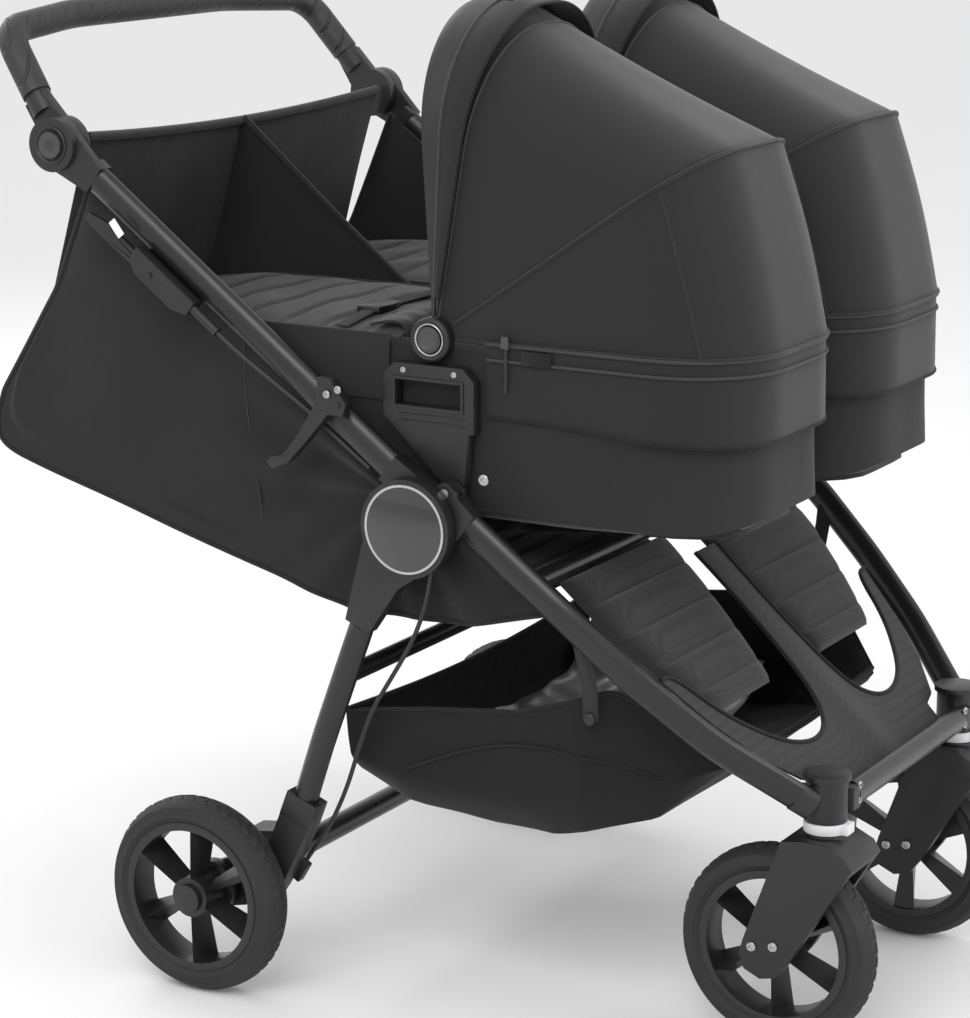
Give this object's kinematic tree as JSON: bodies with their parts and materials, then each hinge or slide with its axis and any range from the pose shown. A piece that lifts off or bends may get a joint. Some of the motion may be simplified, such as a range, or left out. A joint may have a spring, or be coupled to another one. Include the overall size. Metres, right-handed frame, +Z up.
{
  "type": "side-by-side double stroller",
  "caption": "Folding side-by-side stroller with carrycots, hoods, swivel front wheels, wrapped handlebar, basket and hand brake.",
  "frame": {"origin": "on the ground, under the middle of the overall box", "axes": "+X forward, +Y to the stroller's left, +Z up"},
  "size_m": [1.0305, 0.768, 1.0676],
  "materials": {
    "frame_tube": "satin grey-black powder coat",
    "hub_plastic": "fine-grained black moulded plastic",
    "gloss_plastic": "glossy black disc",
    "bright_trim": "thin satin ring",
    "steel": "zinc-plated pins and shafts",
    "grip_leather": "wrapped black grip with slanting seams",
    "seat_cloth": "dark plain-weave side and seat cloth",
    "quilted_cloth": "quilted padded cloth with sewn channels",
    "apron_cloth": "smooth charcoal footwell cloth",
    "basket_cloth": "thin black basket cloth",
    "cot_cloth": "charcoal twill of the carrycots",
    "wheel_plastic": "black moulded wheel",
    "tyre": "matt treaded rubber",
    "lock_white": "white moulded collar",
    "button_grey": "grey push button",
    "cable_black": "black cable sheath"
  },
  "bodies": {
    "lower_frame": {"lower_tubes": "frame_tube", "front_cross_tube": "frame_tube", "caster_housings": "hub_plastic", "fold_knuckles": "hub_plastic", "pivot_pins": "steel", "seat_front_bar": "frame_tube", "footwell_apron": "apron_cloth", "seat_pads": "quilted_cloth", "seat_backs": "quilted_cloth", "side_panels": "seat_cloth", "seat_walls": "seat_cloth", "basket": "basket_cloth"},
    "upper_frame": {"upper_tubes": "frame_tube", "upper_knuckles": "hub_plastic", "handle_sockets": "hub_plastic", "brake_bracket": "hub_plastic", "latch_hook": "hub_plastic", "brake_cable_upper": "cable_black"},
    "brake_lever": {"brake_lever": "hub_plastic"},
    "handlebar": {"handlebar_tube": "frame_tube", "handlebar_grip": "grip_leather", "handle_ends": "hub_plastic"},
    "rear_frame": {"leg_housings": "hub_plastic", "hub_rings": "bright_trim", "hub_covers": "gloss_plastic", "rear_legs": "frame_tube", "foot_sockets": "hub_plastic", "rear_axle_tube": "frame_tube", "rear_cross_tube": "frame_tube", "wheel_axles": "steel", "brake_drums": "hub_plastic", "brake_cable_lower": "cable_black"},
    "handle_button_left": {"handle_button_left": "button_grey"},
    "rear_wheel_left": {"rear_rim_left": "wheel_plastic", "rear_tyre_left": "tyre"},
    "fork_left": {"fork_left": "hub_plastic"},
    "swivel_lock_left": {"swivel_lock_left": "lock_white"},
    "front_wheel_left": {"front_rim_left": "wheel_plastic", "front_tyre_left": "tyre"},
    "carrycot_left": {"carrycot_shell_left": "cot_cloth", "carrycot_mattress_left": "quilted_cloth", "carrycot_apron_left": "quilted_cloth", "carrycot_bracket_left": "hub_plastic", "hood_fabric_left": "cot_cloth"},
    "hood_left": {"hood_hoop_left": "hub_plastic"},
    "hood_button_left": {"hood_button_left": "button_grey"},
    "handle_button_right": {"handle_button_right": "button_grey"},
    "rear_wheel_right": {"rear_rim_right": "wheel_plastic", "rear_tyre_right": "tyre"},
    "fork_right": {"fork_right": "hub_plastic"},
    "swivel_lock_right": {"swivel_lock_right": "lock_white"},
    "front_wheel_right": {"front_rim_right": "wheel_plastic", "front_tyre_right": "tyre"},
    "carrycot_right": {"carrycot_shell_right": "cot_cloth", "carrycot_mattress_right": "quilted_cloth", "carrycot_apron_right": "quilted_cloth", "carrycot_bracket_right": "hub_plastic", "hood_fabric_right": "cot_cloth"},
    "hood_right": {"hood_hoop_right": "hub_plastic"},
    "hood_button_right": {"hood_button_right": "button_grey"}
  },
  "joints": [
    {"name": "fold", "type": "hinge", "parent": "lower_frame", "child": "upper_frame", "pos_m": [0.097, 0, 0.581], "axis": [0, 1, 0], "range_deg": [0, 155]},
    {"name": "rear_legs_fold", "type": "hinge", "parent": "lower_frame", "child": "rear_frame", "pos_m": [0.06, 0, 0.543], "axis": [0, 1, 0], "range_deg": [-45, 0]},
    {"name": "handlebar_tilt", "type": "hinge", "parent": "upper_frame", "child": "handlebar", "pos_m": [-0.3825, 0, 0.908], "axis": [0, 1, 0], "range_deg": [-60, 35]},
    {"name": "brake_lever_pull", "type": "hinge", "parent": "upper_frame", "child": "brake_lever", "pos_m": [-0.2542, -0.336, 0.77877], "axis": [0, 1, 0], "range_deg": [-35, 0]},
    {"name": "handle_button_left_press", "type": "slide", "parent": "upper_frame", "child": "handle_button_left", "axis": [0, -1, 0], "range_m": [0, 0.004], "stiffness_N_per_m": 500},
    {"name": "rear_wheel_left_spin", "type": "hinge", "parent": "rear_frame", "child": "rear_wheel_left", "pos_m": [-0.1965, 0.357, 0.108], "axis": [0, 1, 0], "continuous": true},
    {"name": "caster_left_swivel", "type": "hinge", "parent": "lower_frame", "child": "fork_left", "pos_m": [0.4615, 0.18, 0.24], "axis": [0, 0, 1], "continuous": true},
    {"name": "swivel_lock_left_turn", "type": "hinge", "parent": "lower_frame", "child": "swivel_lock_left", "pos_m": [0.4615, 0.18, 0.246], "axis": [0, 0, 1], "range_deg": [0, 40]},
    {"name": "front_wheel_left_spin", "type": "hinge", "parent": "fork_left", "child": "front_wheel_left", "pos_m": [0.4125, 0.18, 0.108], "axis": [0, 1, 0], "continuous": true},
    {"name": "carrycot_left_lift", "type": "slide", "parent": "lower_frame", "child": "carrycot_left", "axis": [0, 0, 1], "range_m": [0, 0.15]},
    {"name": "hood_left_fold", "type": "hinge", "parent": "carrycot_left", "child": "hood_left", "pos_m": [0.065, 0.1515, 0.733], "axis": [0, 1, 0], "range_deg": [0, 70], "deforming": ["hood_fabric_left"]},
    {"name": "hood_button_left_press", "type": "slide", "parent": "hood_left", "child": "hood_button_left", "axis": [0, -1, 0], "range_m": [0, 0.0025], "stiffness_N_per_m": 500},
    {"name": "handle_button_right_press", "type": "slide", "parent": "upper_frame", "child": "handle_button_right", "axis": [0, 1, 0], "range_m": [0, 0.004], "stiffness_N_per_m": 500},
    {"name": "rear_wheel_right_spin", "type": "hinge", "parent": "rear_frame", "child": "rear_wheel_right", "pos_m": [-0.1965, -0.357, 0.108], "axis": [0, 1, 0], "continuous": true},
    {"name": "caster_right_swivel", "type": "hinge", "parent": "lower_frame", "child": "fork_right", "pos_m": [0.4615, -0.18, 0.24], "axis": [0, 0, 1], "continuous": true},
    {"name": "swivel_lock_right_turn", "type": "hinge", "parent": "lower_frame", "child": "swivel_lock_right", "pos_m": [0.4615, -0.18, 0.246], "axis": [0, 0, 1], "range_deg": [-40, 0]},
    {"name": "front_wheel_right_spin", "type": "hinge", "parent": "fork_right", "child": "front_wheel_right", "pos_m": [0.4125, -0.18, 0.108], "axis": [0, 1, 0], "continuous": true},
    {"name": "carrycot_right_lift", "type": "slide", "parent": "lower_frame", "child": "carrycot_right", "axis": [0, 0, 1], "range_m": [0, 0.15]},
    {"name": "hood_right_fold", "type": "hinge", "parent": "carrycot_right", "child": "hood_right", "pos_m": [0.065, -0.1515, 0.733], "axis": [0, 1, 0], "range_deg": [0, 70], "deforming": ["hood_fabric_right"]},
    {"name": "hood_button_right_press", "type": "slide", "parent": "hood_right", "child": "hood_button_right", "axis": [0, 1, 0], "range_m": [0, 0.0025], "stiffness_N_per_m": 500}
  ],
  "couplings": [
    {"joint": "rear_legs_fold", "follows": "fold", "ratio": -0.28}
  ]
}
